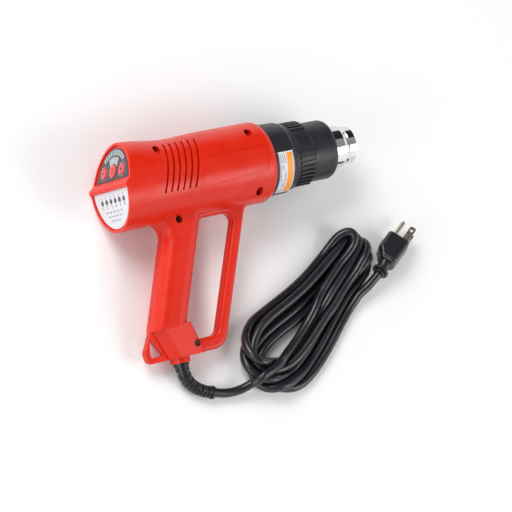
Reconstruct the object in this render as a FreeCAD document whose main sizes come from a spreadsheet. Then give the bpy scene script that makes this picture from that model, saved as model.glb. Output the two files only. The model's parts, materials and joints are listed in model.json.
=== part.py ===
"""Corded hot-air gun lying on its left side, with its coiled mains lead and plug.

The gun is drawn in its own frame: +X along the barrel towards the nozzle, +Y from
the handle up through the barrel and +Z out of the gun's right side. Each gun piece
then gets the placement LYING, which rolls the gun onto its left side until the
handle's base touches the table. The lead, the plug and the table share the part's
frame, +Z up. Lengths are in millimetres and angles in degrees.
"""

import FreeCAD, Part
import math
import os

import Sketcher

Vector = FreeCAD.Vector
Rotation = FreeCAD.Rotation
Placement = FreeCAD.Placement

os.makedirs("parts", exist_ok=True)
doc = FreeCAD.newDocument("heat_gun")

# ---------------------------------------------------------------- driving dimensions

DIMENSIONS = [
    ("origin_x", 125.7, "barrel station above the part's origin"),
    ("origin_y", 61.4, "barrel axis in front of the part's origin"),
    ("axis_height", 38.2, "barrel axis above the table"),
    ("roll", 9.45, "roll onto the left side, past horizontal"),
    ("barrel_r", 38.0, "radius of the casing's barrel"),
    ("waist_r", 37.1, "radius at the barrel's waist"),
    ("waist_x", 60.0, "station of the waist"),
    ("rear_r", 38.5, "radius of the casing's rear rim"),
    ("rear_rise", 3.0, "height that the rear rim's top half is raised"),
    ("rear_straight", 15.0, "length of the straight rear rim"),
    ("barrel_x", 155.5, "front end of the casing"),
    ("seam_r", 34.7, "radius at the seam with the front collar"),
    ("wall", 2.5, "casing wall"),
    ("panel_lean", 19.54, "forward lean of the keypad panel"),
    ("panel_x", 2.4, "panel surface at panel_y"),
    ("panel_y", 6.0, "height of the panel frame's origin"),
    ("rear_x", -1.0, "station of the lower rear face"),
    ("ledge_x", -2.8, "rear edge of the ledge between the two faces"),
    ("neck_y", -36.8, "where the grip's flares end inside the barrel"),
    ("grip_slope", 0.395, "rake of the grip, forward per unit up"),
    ("grip_rear", 44.6, "rear line of the grip at the barrel's underside"),
    ("grip_front", 80.4, "front line of the grip at the barrel's underside"),
    ("grip_w", 30.0, "width of the grip"),
    ("grip_round", 11.5, "rounding of the grip's long edges"),
    ("crease_y", -130.0, "crease between grip and base"),
    ("base_y", -160.0, "underside of the base"),
    ("base_half", 12.0, "half width of the base at its underside"),
    ("guard_w", 14.0, "width of the guard bar"),
    ("guard_slope", 0.412, "rake of the guard bar"),
    ("guard_front", 128.9, "front line of the guard at the barrel's underside"),
    ("guard_bar", 11.0, "guard bar measured along the barrel"),
    ("opening_top", -40.5, "top of the finger opening"),
    ("opening_base", -147.5, "bottom of the finger opening"),
    ("loop_w", 7.6, "width of the hanging loop"),
    ("gland_x", 32.5, "station of the cord gland"),
    ("gland_r", 9.2, "radius of the cord gland"),
    ("gland_y", -165.0, "outer face of the cord gland"),
    ("gland_bore", 5.7, "radius of the gland's bore"),
    ("anchor_depth", 10.4, "depth of the strain relief's anchor inside the gland"),
    ("screw_seat", 14.0, "height of the barrel screws' seats above the split"),
    ("low_seat", 7.5, "height of the handle screws' seats above the split"),
    ("screw_r", 1.5, "radius of the casing screws"),
    ("head_r", 3.2, "radius of the casing screws' heads"),
    ("boss_r", 5.2, "radius of the screw bosses"),
    ("vent_w", 1.8, "width of an air slot"),
    ("vent_pitch", 6.35, "pitch of the air slots"),
    ("vent_lean", 18.9, "lean of the air slots"),
    ("button_travel", 0.8, "travel of a keypad button"),
    ("button_r", 5.1, "radius of the two outer buttons"),
    ("power_r", 6.0, "radius of the middle button"),
    ("button_pitch", 18.35, "spacing of the buttons"),
    ("button_v", 11.35, "height of the buttons up the panel"),
    ("gap", 0.3, "running gap round a moving piece"),
    ("cap_t", 2.5, "thickness of the rear cap's plates"),
    ("inlay_t", 0.6, "thickness of the keypad overlay"),
    ("tube_r", 20.2, "outer radius of the heater tube"),
    ("tube_t", 0.9, "wall of the heater tube"),
    ("outlet_r", 17.7, "outer radius of the nozzle outlet"),
    ("tip_x", 254.0, "front end of the nozzle"),
    ("collar_r", 34.0, "radius of the front collar"),
    ("neck_r", 27.3, "radius of the collar's neck, which the ring turns on"),
    ("ring_x", 183.3, "rear end of the locking ring"),
    ("ring_r", 30.4, "radius of the locking ring between its ribs"),
    ("sleeve_x", 201.5, "rear end of the guard sleeve"),
    ("sleeve_r", 28.0, "radius of the guard sleeve"),
    ("sleeve_tip", 228.0, "front end of the guard sleeve"),
    ("guide_r", 24.0, "radius of the sleeve's guide tube"),
    ("motor_r", 18.0, "radius of the motor"),
    ("motor_x", 60.0, "rear end of the motor"),
    ("motor_len", 36.0, "length of the motor"),
    ("shaft_r", 1.5, "radius of the motor shaft"),
    ("fan_x", 103.0, "rear face of the fan"),
    ("fan_len", 13.0, "length of the fan"),
    ("fan_r", 32.0, "radius of the fan"),
    ("cord_r", 4.25, "radius of the mains lead"),
    ("hank_top", 24.0, "height of the coiled lead"),
]

dims = doc.addObject("Spreadsheet::Sheet", "dims")
for row, (alias, size, note) in enumerate(DIMENSIONS, start=1):
    dims.set(f"A{row}", str(size))
    dims.setAlias(f"A{row}", alias)
    dims.set(f"B{row}", note)
doc.recompute()


def size_of(expression):
    """Value of a number or of an expression in the sheet's aliases."""
    return float(dims.evalExpression(str(expression)))


# ---------------------------------------------------------------- placements

FLAT = Placement()
LYING = Placement(
    Vector(-size_of("origin_x"), size_of("origin_y"), size_of("axis_height")),
    Rotation(Vector(1, 0, 0), size_of("roll")),
)


def rear_frame(station, height, lean):
    """Frame on a rear face: X to the gun's right, Y up the face, Z out of it."""
    tilt = math.radians(lean)
    across = Vector(0, 0, 1)
    upward = Vector(math.sin(tilt), math.cos(tilt), 0)
    outward = Vector(-math.cos(tilt), math.sin(tilt), 0)
    turn = Rotation(across, upward, outward, "ZXY")
    return Placement(Vector(station, height, 0), turn)


PANEL = rear_frame(size_of("panel_x"), size_of("panel_y"), size_of("panel_lean"))
LOWER_FACE = rear_frame(size_of("rear_x"), 0, 0)

# ---------------------------------------------------------------- building blocks

ALONG = {
    "x": Rotation(Vector(0, 1, 0), 90),
    "y": Rotation(Vector(1, 0, 0), -90),
    "z": Rotation(),
}


def bind(item, links):
    for name, expression in links.items():
        item.setExpression(name, str(expression).replace("+ -", "- "))


def base_at(at):
    return {f"Placement.Base.{axis}": place for axis, place in zip("xyz", at)}


def rod(name, axis, radius, length, at=(0, 0, 0)):
    """A cylinder from the point at, along +x, +y or +z."""
    item = doc.addObject("Part::Cylinder", name)
    item.Placement = Placement(Vector(), ALONG[axis])
    bind(item, {"Radius": radius, "Height": length, **base_at(at)})
    return item


def block(name, size, at, turn=Rotation()):
    """A box of the given size whose low corner is the point at."""
    item = doc.addObject("Part::Box", name)
    item.Placement = Placement(Vector(), turn)
    bind(item, {"Length": size[0], "Width": size[1], "Height": size[2], **base_at(at)})
    return item


def centred(name, size, middle):
    """A box of the given size about the point middle."""
    corner = [f"{place} - ({length}) / 2" for length, place in zip(size, middle)]
    return block(name, size, corner)


def fuse(name, *items):
    item = doc.addObject("Part::MultiFuse", name)
    item.Shapes = list(items)
    return item


def cut(name, base, *tools):
    item = doc.addObject("Part::Cut", name)
    item.Base = base
    item.Tool = tools[0] if len(tools) == 1 else fuse(f"{name}_tools", *tools)
    return item


def common(name, one, other):
    item = doc.addObject("Part::Common", name)
    item.Base = one
    item.Tool = other
    return item


def group(name, items):
    item = doc.addObject("Part::Compound", name)
    item.Links = list(items)
    return item


def tube(name, axis, radius, bore, length, at=(0, 0, 0)):
    outside = rod(f"{name}_outside", axis, radius, length, at)
    return cut(name, outside, rod(f"{name}_bore", axis, bore, length, at))


def shaped(name, shape):
    """A feature whose shape comes from Part's own functions."""
    item = doc.addObject("Part::Feature", name)
    item.Shape = shape
    return item


def outline_sketch(body, name, outline, plane="XY_Plane", offset=0):
    """A closed outline of straight lines whose corners follow the sheet."""
    sketch = body.newObject("Sketcher::SketchObject", name)
    origin = next(f for f in body.Origin.OriginFeatures if f.Role == plane)
    sketch.AttachmentSupport = (origin, [""])
    sketch.MapMode = "FlatFace"
    sketch.AttachmentOffset = Placement(Vector(0, 0, offset), Rotation())
    corners = [Vector(size_of(x), size_of(y), 0) for x, y in outline]
    for start, end in zip(corners, corners[1:] + corners[:1]):
        sketch.addGeometry(Part.LineSegment(start, end), False)
    count = len(corners)
    for line in range(count):
        joint = Sketcher.Constraint("Coincident", line, 2, (line + 1) % count, 1)
        sketch.addConstraint(joint)
    for line, corner in enumerate(outline):
        for kind, place in zip(("DistanceX", "DistanceY"), corner):
            rule = Sketcher.Constraint(kind, -1, 1, line, 1, size_of(place))
            index = sketch.addConstraint(rule)
            sketch.setExpression(f"Constraints[{index}]", str(place))
    return sketch


def turned(name, outline):
    """A body turned about the barrel axis from an outline of (station, radius)."""
    body = doc.addObject("PartDesign::Body", name)
    sketch = outline_sketch(body, f"{name}_outline", outline)
    turn = body.newObject("PartDesign::Revolution", f"{name}_turn")
    turn.Profile = sketch
    turn.ReferenceAxis = (sketch, ["H_Axis"])
    turn.Angle = 360
    sketch.Visibility = False
    return body


def slab(name, outline, width, plane="XY_Plane", side="Symmetric", offset=0):
    """A body padded from an outline, symmetric about its plane unless told."""
    body = doc.addObject("PartDesign::Body", name)
    sketch = outline_sketch(body, f"{name}_outline", outline, plane, offset)
    pad = body.newObject("PartDesign::Pad", f"{name}_pad")
    pad.Profile = sketch
    pad.SideType = side
    pad.setExpression("Length", str(width))
    sketch.Visibility = False
    doc.recompute()
    return body


def round_edges(body, radius, chosen):
    """Fillet the tip's edges for which chosen(edge) holds."""
    tip = body.Tip
    names = [f"Edge{n}" for n, e in enumerate(tip.Shape.Edges, 1) if chosen(e)]
    if not names:
        raise RuntimeError(f"{body.Name}: no edge to round")
    fillet = body.newObject("PartDesign::Fillet", f"{body.Name}_round")
    fillet.Base = (tip, names)
    fillet.setExpression("Radius", str(radius))
    doc.recompute()
    return fillet


def upright_at(*places):
    """Chooses the edges square to the sketch that pass through these corners."""
    spots = [(size_of(x), size_of(y)) for x, y in places]

    def chosen(edge):
        ends = [vertex.Point for vertex in edge.Vertexes]
        if len(ends) != 2 or (ends[0] - ends[1]).x or (ends[0] - ends[1]).y:
            return False
        return any(math.hypot(ends[0].x - x, ends[0].y - y) < 0.01 for x, y in spots)

    return chosen


def on_faces(half, low, high):
    """Chooses the edges on z = +-half from low up to high, but none along those ends."""
    limit = size_of(half)
    floor = size_of(low)
    ceiling = size_of(high)

    def chosen(edge):
        box = edge.BoundBox
        if abs(abs(box.ZMin) - limit) > 1e-6 or box.ZLength > 1e-6:
            return False
        inside = box.YMin > floor - 0.01 and box.YMax < ceiling + 0.01
        return inside and floor + 0.01 < box.Center.y < ceiling - 0.01

    return chosen


def route_wire(name, points):
    """Straight runs joined by tangent arcs as large as the runs allow."""
    edges = []
    radii = []
    here = points[0]
    for before, corner, after in zip(points, points[1:], points[2:]):
        back = before - corner
        ahead = after - corner
        trim = 0.45 * min(back.Length, ahead.Length)
        half_turn = (math.pi - back.getAngle(ahead)) / 2
        radius = trim / math.tan(half_turn)
        back.normalize()
        ahead.normalize()
        inward = back + ahead
        inward.normalize()
        sagitta = radius / math.cos(half_turn) - radius
        start = corner + back * trim
        end = corner + ahead * trim
        edges.append(Part.LineSegment(here, start).toShape())
        edges.append(Part.Arc(start, corner + inward * sagitta, end).toShape())
        radii.append(round(radius, 1))
        here = end
    edges.append(Part.LineSegment(here, points[-1]).toShape())
    print(f"{name}: arc radii {radii} mm")
    return Part.Wire(edges)


def ring_wire(radius, centre, direction):
    return Part.Wire([Part.makeCircle(radius, centre, direction)])


def pipe(name, points, radius, end_radius=None):
    """A round tube along a route, tapering if end_radius is given."""
    wire = route_wire(name, points)
    first = points[1] - points[0]
    last = points[-1] - points[-2]
    rings = [ring_wire(radius, points[0], first)]
    if end_radius:
        rings.append(ring_wire(end_radius, points[-1], last))
    shape = wire.makePipeShell(rings, True, False)
    if end_radius is None:
        expected = math.pi * radius**2 * wire.Length
        if abs(shape.Volume / expected - 1) > 0.01:
            raise RuntimeError(f"{name}: volume {shape.Volume} is not {expected}")
    return shape


def points_of(places):
    return [Vector(*place) for place in places]


def screw_shape(at, towards, head_r, head_t, shank_r, length):
    """A pan-head screw: its seat at the point at, its shank towards a direction."""
    head = Part.makeCylinder(head_r, head_t, at, towards * -1)
    shank = Part.makeCylinder(shank_r, length, at - towards * 0.2, towards)
    body = head.fuse(shank)
    top = at - towards * head_t
    turn = Placement(top, Rotation(Vector(0, 0, 1), towards))
    for angle in (0, 90):
        slot = Part.makeBox(head_r * 1.2, 0.7, 1.2, Vector(-head_r * 0.6, -0.35, 0))
        slot.rotate(Vector(), Vector(0, 0, 1), angle)
        slot.Placement = turn.multiply(slot.Placement)
        body = body.cut(slot)
    return body


PIECES = {}


def piece(name, item, frame=LYING):
    """Names a finished sub-part and puts it in its place."""
    item.Label = name
    item.Placement = frame
    PIECES[name] = item
    return item


# ---------------------------------------------------------------- casing forms


def smooth(share):
    share = min(max(share, 0.0), 1.0)
    return share * share * (3 - 2 * share)


def rim_section(station, inset):
    """Section of the rear barrel: a half circle below and a raised arch above."""
    start = size_of("rear_straight")
    fade = smooth((station - start) / (size_of("waist_x") - start))
    rise = size_of("rear_rise") * (1 - fade)
    radius = size_of("rear_r") + (size_of("waist_r") - size_of("rear_r")) * fade - inset
    left = Vector(station, 0, -radius)
    right = Vector(station, 0, radius)
    crown = Part.Arc(left, Vector(station, radius + rise, 0), right)
    belly = Part.Arc(right, Vector(station, -radius, 0), left)
    return Part.Wire([crown.toShape(), belly.toShape()])


def barrel_form(name, inset, front, nose=False):
    """The barrel's outer form moved inwards by inset, up to the station front."""
    waist_x = size_of("waist_x")
    stations = [-6, 4, size_of("rear_straight"), 24, 33, 42, 51, waist_x]
    rear = Part.makeLoft([rim_section(x, inset) for x in stations], True, False)
    full_x = 98.0
    shoulder_x = size_of("barrel_x") - 7.5
    waist_r = size_of("waist_r") - inset
    full_r = size_of("barrel_r") - inset
    middle = Vector((waist_x + full_x) / 2, (waist_r + full_r) / 2, 0)
    along = Vector(1, 0, 0)
    swell = Part.BSplineCurve()
    swell.interpolate(
        Points=[Vector(waist_x, waist_r, 0), middle, Vector(full_x, full_r, 0)],
        InitialTangent=along,
        FinalTangent=along,
    )
    edges = [Part.LineSegment(Vector(waist_x, 0, 0), Vector(waist_x, waist_r, 0)), swell]
    if nose:
        shoulder = Vector(shoulder_x, full_r, 0)
        seam = Vector(front, size_of("seam_r"), 0)
        bulge = Vector(front - 2.3, size_of("seam_r") + 2.2, 0)
        edges.append(Part.LineSegment(Vector(full_x, full_r, 0), shoulder))
        edges.append(Part.Arc(shoulder, bulge, seam))
        edges.append(Part.LineSegment(seam, Vector(front, 0, 0)))
    else:
        edges.append(Part.LineSegment(Vector(full_x, full_r, 0), Vector(front, full_r, 0)))
        edges.append(Part.LineSegment(Vector(front, full_r, 0), Vector(front, 0, 0)))
    edges.append(Part.LineSegment(Vector(front, 0, 0), Vector(waist_x, 0, 0)))
    face = Part.Face(Part.Wire([edge.toShape() for edge in edges]))
    front_half = face.revolve(Vector(), Vector(1, 0, 0), 360)
    return shaped(name, rear.fuse(front_half).removeSplitter())


def leaning(line, slope, height):
    """Station of a raked line at a height, as an expression."""
    return f"dims.{line} + dims.{slope} * ({height} + dims.barrel_r)"


def grip_rear(height, inset=0):
    return f"{leaning('grip_rear', 'grip_slope', height)} + {inset}"


def grip_front(height, inset=0):
    return f"{leaning('grip_front', 'grip_slope', height)} - {inset}"


def guard_front(height, inset=0):
    return f"{leaning('guard_front', 'guard_slope', height)} - {inset}"


def grip_form():
    """The raked grip, with flares into the barrel in front and behind."""
    neck = "dims.neck_y"
    foot = "dims.crease_y - 2"
    rear_corner = (grip_rear(neck), neck)
    front_corner = (grip_front(neck), neck)
    outline = [
        (14, -22),
        (14, neck),
        rear_corner,
        (grip_rear(foot), foot),
        (grip_front(foot), foot),
        front_corner,
        (98, neck),
        (98, -22),
    ]
    body = slab("grip_form", outline, "dims.grip_w")
    round_edges(body, 12, upright_at(rear_corner))
    round_edges(body, 8, upright_at(front_corner))
    long_edges = on_faces("dims.grip_w / 2", foot, "dims.neck_y + 0.5")
    round_edges(body, "dims.grip_round", long_edges)
    return body


def base_section(height, rear, front, nose, half):
    """Section of the base: a blunt rear nose widening to parallel sides."""
    shoulder = rear + 9.0
    corners = [
        Vector(rear, height, -nose),
        Vector(rear, height, nose),
        Vector(shoulder, height, half),
        Vector(front, height, half),
        Vector(front, height, -half),
        Vector(shoulder, height, -half),
    ]
    return Part.makePolygon(corners + corners[:1])


def base_form(name, inset=0.0):
    """The base below the crease, which narrows downwards."""
    crease = size_of("crease_y")
    floor = size_of("base_y") + inset
    top_rear = size_of(grip_rear(crease)) + inset
    top_front = size_of(grip_front(crease)) + 1.2 - inset
    half = size_of("grip_w") / 2 - inset
    low_half = size_of("base_half") - inset
    top = base_section(crease - inset, top_rear, top_front, 4.5, half)
    bottom = base_section(floor, 19.5 + inset, 55.0 - inset, 6.0, low_half)
    solid = Part.makeLoft([top, bottom], True, True)
    if not inset:
        front_edges = [
            edge for edge in solid.Edges
            if edge.BoundBox.XMin > 40 and edge.BoundBox.YLength > 20
        ]
        solid = solid.makeFillet(5.0, front_edges)
    return shaped(name, solid)


def guard_form():
    """The hand guard: a raked bar and a foot bar, with the web under the barrel."""
    floor = "dims.base_y"
    neck = "dims.neck_y"
    heel = (guard_front(floor), floor)
    collar = (guard_front(neck), neck)
    outline = [(52, -26), (30, floor), heel, collar, (146, neck), (146, -26)]
    body = slab("guard_form", outline, "dims.guard_w")
    round_edges(body, 17, upright_at(heel))
    round_edges(body, 10, upright_at(collar))
    bar = "dims.guard_bar"
    top = "dims.opening_top"
    base = "dims.opening_base"
    top_rear = (grip_front(top), top)
    top_front = (guard_front(top, bar), top)
    low_front = (guard_front(base, bar), base)
    opening = [
        top_rear,
        top_front,
        low_front,
        (50, base),
        (grip_front(-128, 3), -128),
        (grip_front(-56, 3), -56),
        (grip_front(-52), -52),
    ]
    sketch = outline_sketch(body, "finger_opening", opening)
    pocket = body.newObject("PartDesign::Pocket", "guard_opening")
    pocket.Profile = sketch
    pocket.SideType = "Symmetric"
    pocket.Length = 40
    doc.recompute()
    round_edges(body, 7, upright_at(top_rear, top_front))
    round_edges(body, 9, upright_at(low_front))
    round_edges(body, 3.6, on_faces("dims.guard_w / 2", "dims.base_y - 1", "dims.neck_y + 0.5"))
    return body


def loop_form():
    """The hanging loop behind the base."""
    corner_rear = (-2.9, -150.0)
    corner_low = (-1.2, -160.5)
    outline = [(22, -126), (grip_rear(-128), -128), corner_rear, corner_low, (22, -160.5)]
    body = slab("loop_form", outline, "dims.loop_w")
    round_edges(body, 8, upright_at(corner_rear))
    round_edges(body, 5, upright_at(corner_low))
    round_edges(body, 1.2, on_faces("dims.loop_w / 2", "dims.base_y - 1", -127))
    hole = [
        (5.8, -138.4), (4.7, -138.2), (2.3, -150.5), (2.7, -154.6), (3.6, -155.4), (15.2, -154.9),
        (15.6, -154.0),
    ]
    sketch = outline_sketch(body, "loop_hole", hole)
    pocket = body.newObject("PartDesign::Pocket", "loop_opening")
    pocket.Profile = sketch
    pocket.SideType = "Symmetric"
    pocket.Length = 40
    doc.recompute()
    return body


def rear_profile(depth):
    """Side outline of the two rear faces, moved forwards by depth."""
    lean = math.tan(math.radians(size_of("panel_lean")))
    setback = depth / math.cos(math.radians(size_of("panel_lean")))
    station = size_of("panel_x") + setback
    high = 46.0
    return [
        (size_of("rear_x") + depth, -46),
        (size_of("rear_x") + depth, 2),
        (station + (2 - size_of("panel_y")) * lean, 2),
        (station + (high - size_of("panel_y")) * lean, high),
    ]


def rear_trim():
    """All that lies behind the rear rim."""
    return slab("rear_trim", [(-12, 46), (-12, -46)] + rear_profile(-0.7), 100)


def ledge_form(name):
    """The ledge between the keypad panel and the lower face."""
    outline = [
        ("dims.ledge_x", -0.4),
        ("dims.ledge_x", 3.2),
        ("dims.ledge_x + 1.2", 4.6),
        ("dims.panel_x + 0.9", 8.4),
        (6, 8.4),
        (6, -0.4),
    ]
    body = slab(f"{name}_slab", outline, 90)
    round_edges(body, 0.8, upright_at(("dims.ledge_x", 3.2), ("dims.ledge_x", -0.4)))
    reach = rod(f"{name}_reach", "x", "dims.rear_r + 0.6", 30, (-10, "dims.rear_rise / 2", 0))
    return common(name, body, reach)


BARREL_SCREWS = [(40.0, 27.5), (136.5, 27.0), (136.0, -27.5)]
HANDLE_SCREWS = [(54.0, -37.7), (47.3, -150.4)]


def screw_places():
    """Each casing screw's station, height and seat."""
    high = [(x, y, "dims.screw_seat") for x, y in BARREL_SCREWS]
    low = [(x, y, "dims.low_seat") for x, y in HANDLE_SCREWS]
    return high + low


def vent_tools():
    """Six leaning slots through each side of the barrel."""
    tools = []
    turn = Rotation(Vector(0, 0, 1), -size_of("vent_lean"))
    for number in range(6):
        for side, low in (("right", 15), ("left", -45)):
            corner = (f"34.4 + dims.vent_pitch * {number}", -12.7, low)
            size = ("dims.vent_w", 46.5, 30)
            tools.append(block(f"vent_{side}_{number}", size, corner, turn))
    return tools


def badge_recess():
    """A shallow blank panel in the right side of the barrel."""
    outline = [(85.7, 12.5), (74.5, -14.3), (144.0, -10.5), (148.2, 13.2)]
    field = slab("badge_field", outline, 40, side="One side", offset=20)
    core = rod("badge_core", "x", "dims.barrel_r - 0.5", 200)
    return cut("badge_recess", field, core)


def casing():
    """The two halves of the casing, split down the middle."""
    grip = grip_form()
    base = base_form("base_outside")
    outside = fuse(
        "casing_outside",
        barrel_form("barrel_outside", 0.0, size_of("barrel_x"), nose=True),
        grip,
        base,
        guard_form(),
        rod("gland_outside", "y", "dims.gland_r", "6 + dims.base_y - dims.gland_y",
            ("dims.gland_x", "dims.gland_y", 0)),
    )
    wall = "dims.wall"
    top = "dims.neck_y + 8"
    foot = "dims.crease_y + 1"
    hollow = slab("grip_hollow", [
        (grip_rear(top, wall), top),
        (grip_rear(foot, wall), foot),
        (grip_front(foot, wall), foot),
        (grip_front(top, wall), top),
    ], "dims.grip_w - 2 * dims.wall")
    long_edges = on_faces("dims.grip_w / 2 - dims.wall", foot, top)
    round_edges(hollow, "dims.grip_round - dims.wall", long_edges)
    inside = fuse(
        "casing_inside",
        barrel_form("barrel_inside", size_of("wall"), 149.0),
        rod("front_bore", "x", 31.9, 20, (140, 0, 0)),
        hollow,
        block("grip_passage", (22, 12, 20), (size_of(grip_rear("dims.crease_y")) + 8, -138, -10)),
        base_form("base_inside", size_of("wall")),
        rod("gland_inside", "y", "dims.gland_bore", 20, ("dims.gland_x", -170, 0)),
    )
    bosses = []
    holes = []
    for number, (x, y, seat) in enumerate(screw_places()):
        bosses.append(rod(f"boss_{number}", "z", "dims.boss_r", 80, (x, y, -40)))
        holes.append(rod(f"head_pocket_{number}", "z", "dims.head_r + 0.4", 40, (x, y, seat)))
        holes.append(rod(f"clearance_{number}", "z", "dims.screw_r + 0.3", 20, (x, y, 0)))
        holes.append(rod(f"pilot_{number}", "z", "dims.screw_r + 0.05", 10.5, (x, y, -10.5)))
    piece("hang_loop", cut("loop_trimmed", loop_form(), grip, base))
    skin = cut("casing_skin", outside, inside)
    posts = common("casing_bosses", fuse("boss_posts", *bosses), outside)
    recesses = [rear_trim(), ledge_form("ledge_notch"), badge_recess(), *vent_tools(), *holes]
    shell = cut("casing_shell", fuse("casing_whole", skin, posts), *recesses)
    right_side = block("right_side", (400, 400, 100), (-100, -250, 0))
    left_side = block("left_side", (400, 400, 100), (-100, -250, -100))
    piece("right_housing", common("right_half", shell, right_side))
    clamp_posts = common("clamp_posts_trimmed", clamp_posts_form(), outside)
    left_half = fuse("left_half_posts", common("left_half", shell, left_side), clamp_posts)
    piece("left_housing", cut("left_whole", left_half, *clamp_pilots()))


# ---------------------------------------------------------------- rear end

BUTTONS = {
    "minus_button": (-1, "button_r"),
    "power_button": (0, "power_r"),
    "plus_button": (1, "button_r"),
}
LENS_SPOTS = [-20.5 + 8.8 * number for number in range(6)]
BOARD_POSTS = {side: (side * 22.0, 1.4) for side in (-1, 1)}


def rear_cap():
    """The rear cap: keypad panel, ledge, lower face and two board posts."""
    form = barrel_form("cap_form", size_of("wall") + 0.1, 70.0)
    deep = [(x, y) for x, y in reversed(rear_profile(0.6 + size_of("cap_t")))]
    plates = common("cap_plates", form, slab("cap_slab", rear_profile(0.6) + deep, 100))
    posts = [panel_rod(f"board_post_{side}", 2.6, -10.4, -1.0, *spot) for side, spot in BOARD_POSTS.items()]
    holes = []
    for name, (side, radius) in BUTTONS.items():
        across = f"{side} * dims.button_pitch"
        holes.append(panel_rod(f"{name}_hole", f"dims.{radius} + dims.gap", -8, 4, across, "dims.button_v"))
    for side, spot in BOARD_POSTS.items():
        holes.append(panel_rod(f"post_pilot_{side}", 1.05, -10.5, -4.0, *spot))
    for number, spot in enumerate(LENS_SPOTS):
        holes.append(rod(f"lens_hole_{number}", "x", 2.5, 8, ("dims.rear_x - 1", -9.5, spot)))
    whole = fuse("cap_whole", plates, ledge_form("cap_ledge"), *posts)
    piece("rear_cap", cut("cap_drilled", whole, *holes))


def panel_rod(name, radius, low, high, across, upward):
    """A cylinder square to the keypad panel, between two depths."""
    item = doc.addObject("Part::Cylinder", name)
    spot = Vector(size_of(across), size_of(upward), low)
    item.Placement = PANEL.multiply(Placement(spot, Rotation()))
    bind(item, {"Radius": radius, "Height": high - low})
    return item


def sector(name, outer, inner, half_angle, thickness, low, centre_v):
    """A flat ring sector about the upward direction, in a face's own frame."""
    parts = []
    for radius in (outer, inner):
        item = doc.addObject("Part::Cylinder", f"{name}_{radius}")
        start = Rotation(Vector(0, 0, 1), 90 - half_angle)
        item.Placement = Placement(Vector(0, centre_v, low), start)
        bind(item, {"Radius": radius, "Height": thickness, "Angle": 2 * half_angle})
        parts.append(item)
    return cut(name, *parts)


def keypad():
    """Overlay, its two windows and the three buttons, in the panel's frame."""
    frame = LYING.multiply(PANEL)
    disc = doc.addObject("Part::Cylinder", "overlay_disc")
    disc.Placement = Placement(Vector(0, 0.3, 0), Rotation())
    bind(disc, {"Radius": 32.2, "Height": "dims.inlay_t", "Angle": 180, "Placement.Base.z": "-dims.inlay_t"})
    foot = block("overlay_foot", (80, 2.8, 4), (-40, 0.2, -2))
    holes = []
    for name, (side, radius) in BUTTONS.items():
        spot = (f"{side} * dims.button_pitch", "dims.button_v", -2)
        holes.append(rod(f"{name}_overlay_hole", "z", f"dims.{radius} + dims.gap", 4, spot))
    arch = sector("arch_cut", 30.8, 26.0, 42, 2, -0.3, 0.3)
    fan = sector("fan_cut", 24.4, 13.4, 24, 2, -0.3, 0.3)
    middle_clear = rod("window_clearance", "z", "dims.power_r + 1.1", 4, (0, "dims.button_v", -2))
    window_cut = cut("window_cut", fan, middle_clear)
    piece("control_overlay", cut("overlay", disc, foot, arch, window_cut, *holes), frame)
    arch_piece = sector("arch_inlay", 30.75, 26.05, 41.8, 0.35, -0.3, 0.3)
    piece("level_window", arch_piece, frame)
    fan_inlay = sector("fan_inlay", 24.35, 13.4, 23.8, 0.35, -0.3, 0.3)
    clear = rod("inlay_clearance", "z", "dims.power_r + 1.15", 4, (0, "dims.button_v", -2))
    piece("display_window", cut("window_inlay", fan_inlay, clear), frame)
    for name, (side, radius) in BUTTONS.items():
        piece(name, keypad_button(name, side, f"dims.{radius}"), frame)


def keypad_button(name, side, radius):
    """A button: low domed cap, retaining flange under the plate and stem."""
    spot = f"{side} * dims.button_pitch"
    height = "dims.button_v"
    cap = rod(f"{name}_cap", "z", radius, 4.9, (spot, height, -4.0))
    flange = rod(f"{name}_flange", "z", f"{radius} + 1.1", 0.9, (spot, height, -4.3))
    stem = rod(f"{name}_stem", "z", 1.6, 3.0, (spot, height, -6.4))
    return fuse(f"{name}_body", cap, flange, stem)


def lower_face():
    """The scale label and the six indicator lenses."""
    frame = LYING.multiply(LOWER_FACE)
    disc = doc.addObject("Part::Cylinder", "label_disc")
    half = Rotation(Vector(0, 0, 1), 180)
    disc.Placement = Placement(Vector(0, -0.6, 0), half)
    bind(disc, {"Radius": 34.3, "Height": 0.3, "Angle": 180, "Placement.Base.z": -0.6})
    holes = [rod(f"label_hole_{n}", "z", 2.5, 4, (z, -9.5, -2)) for n, z in enumerate(LENS_SPOTS)]
    piece("scale_label", cut("label", disc, *holes), frame)
    lenses = [rod(f"lens_{n}", "z", 2.4, 3.4, (z, -9.5, -3.6)) for n, z in enumerate(LENS_SPOTS)]
    piece("indicator_lenses", group("lenses", lenses), frame)


def control_electronics():
    """Control board with switches, and the screws that hold it to the cap."""
    frame = LYING.multiply(PANEL)
    disc = doc.addObject("Part::Cylinder", "board_disc")
    bind(disc, {"Radius": 30, "Height": 1.6, "Angle": 180, **base_at((0, -3, -12))})
    holes = [rod(f"board_hole_{side}", "z", 1.2, 4, (*spot, -13)) for side, spot in BOARD_POSTS.items()]
    piece("control_board", cut("board", disc, *holes), frame)
    switches = []
    for name, (side, radius) in BUTTONS.items():
        spot = f"{side} * dims.button_pitch"
        case = centred(f"{name}_switch_case", (6, 6, 2.4), (spot, "dims.button_v", -9.2))
        plunger = rod(f"{name}_plunger", "z", 1.5, 0.9, (spot, "dims.button_v", -8.2))
        switches.append(fuse(f"{name}_switch", case, plunger))
    piece("tactile_switches", group("switches", switches), frame)
    inward = Vector(0, 0, 1)
    screws = [screw_shape(Vector(*spot, -12.0), inward, 1.9, 1.4, 1.0, 7.5) for spot in BOARD_POSTS.values()]
    piece("board_screws", shaped("board_screw_pair", Part.makeCompound(screws)), frame)


# ---------------------------------------------------------------- barrel internals


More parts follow.
